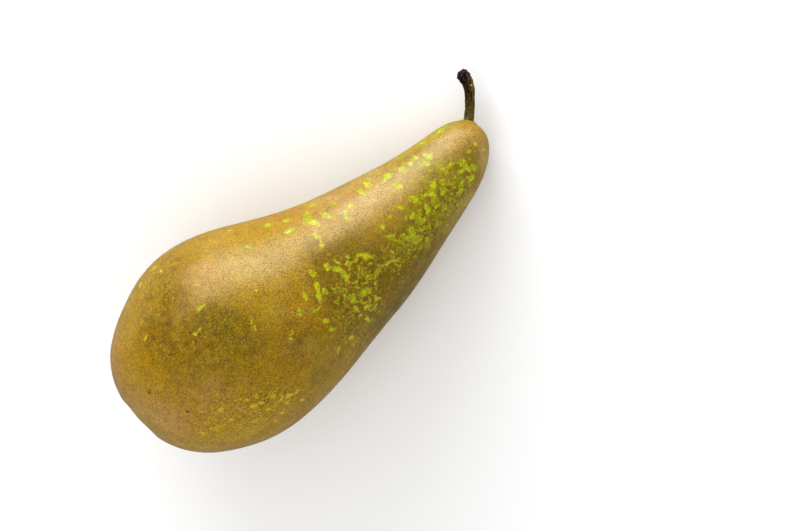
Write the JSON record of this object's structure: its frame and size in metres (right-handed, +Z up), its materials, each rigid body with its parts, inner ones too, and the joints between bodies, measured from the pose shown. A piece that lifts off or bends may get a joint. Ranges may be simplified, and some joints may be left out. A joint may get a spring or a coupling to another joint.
{
  "type": "pear",
  "caption": "Whole ripe pear with a long curved neck, russet skin, a woody stem and a dried calyx, lying on its side on small flat spots.",
  "frame": {"origin": "centre of the whole box's footprint, on the surface that the pear lies on", "axes": "+X along the lying pear from the eye to the stem, +Z up, +Y to the side that the stem curves towards"},
  "size_m": [0.134, 0.062, 0.061],
  "materials": {
    "skin": "satin",
    "stem_bark": "matte",
    "dry_calyx": "matte"
  },
  "bodies": {
    "root": {"fruit": "skin", "stem": "stem_bark", "calyx": "dry_calyx"}
  },
  "joints": []
}
